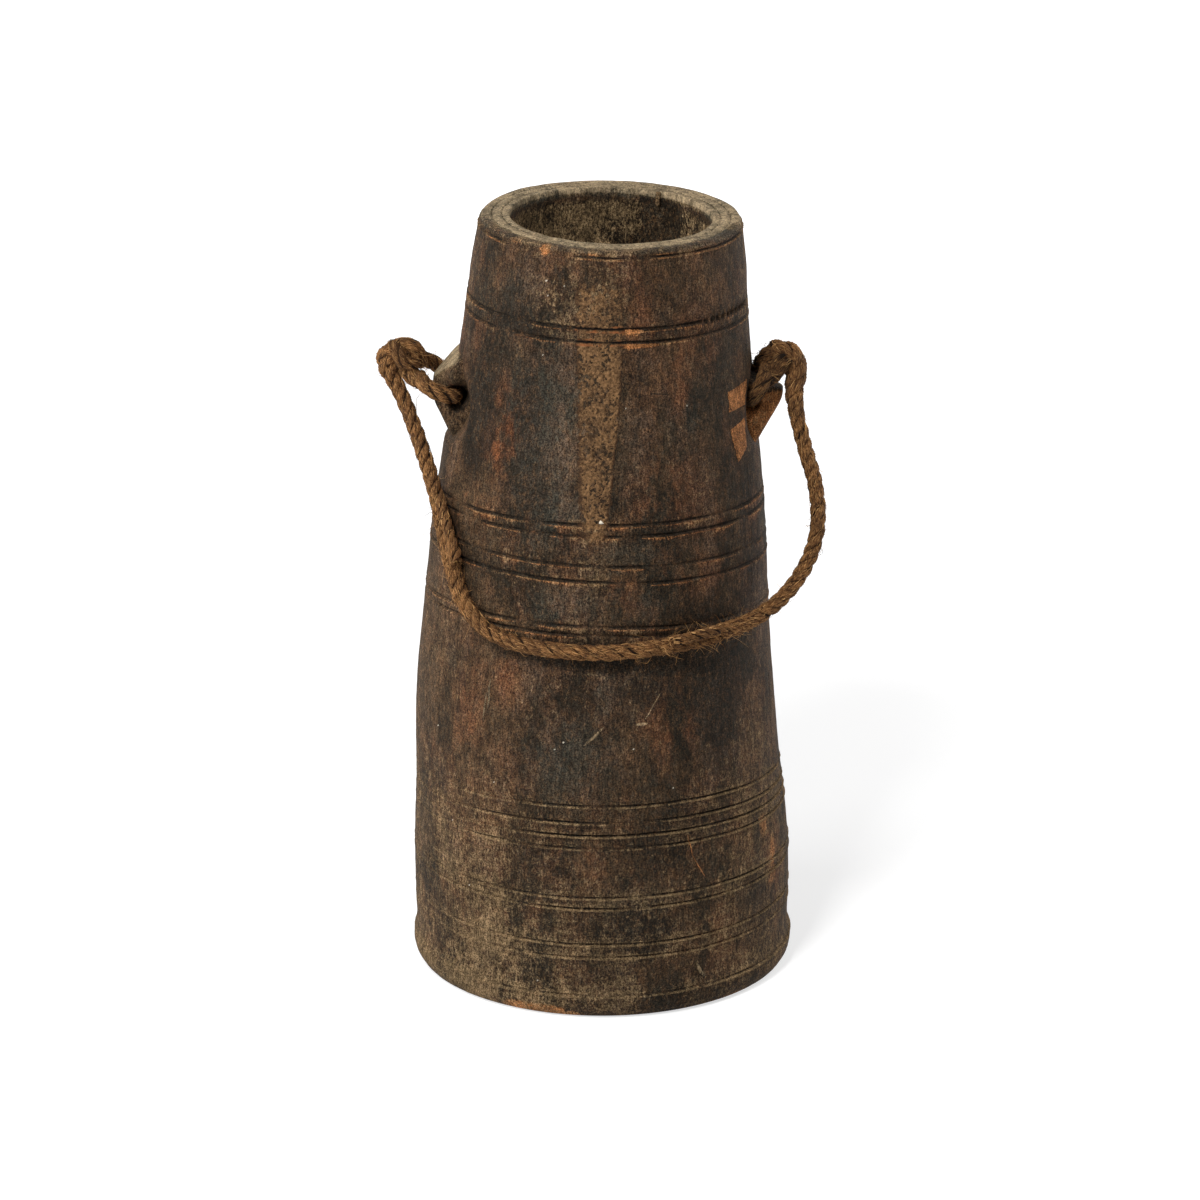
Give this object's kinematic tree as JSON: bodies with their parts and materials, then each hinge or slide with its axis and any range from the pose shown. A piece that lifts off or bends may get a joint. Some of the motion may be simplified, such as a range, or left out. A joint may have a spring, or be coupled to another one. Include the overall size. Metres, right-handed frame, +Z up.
{
  "type": "wooden piggin",
  "caption": "Tall turned wooden vessel hollowed from one log, with turned line grooves, pierced side lugs and a rope bail that swings over its open mouth.",
  "frame": {"origin": "middle of the flat foot, on the floor", "axes": "+Z up along the turning axis; the lugs and the bail's hinge line lie along X; the front, where the bail hangs, faces -Y"},
  "size_m": [0.219, 0.188, 0.38],
  "materials": {
    "aged_wood": "dark, worn and dusty",
    "crack_filler": "rough, granular",
    "jute_rope": "laid natural fibre, fuzzy"
  },
  "bodies": {
    "pail": {"vessel": "aged_wood", "crack_filler": "crack_filler", "left_lug_loop": "jute_rope", "right_lug_loop": "jute_rope", "left_knot": "jute_rope", "right_knot": "jute_rope"},
    "bail": {"rope_handle": "jute_rope", "left_tucked_end": "jute_rope", "right_tucked_end": "jute_rope"}
  },
  "joints": [
    {"name": "bail_swing", "type": "hinge", "parent": "pail", "child": "bail", "pos_m": [0, 0, 0.314], "axis": [-1, 0, 0], "range_deg": [0, 288]}
  ]
}
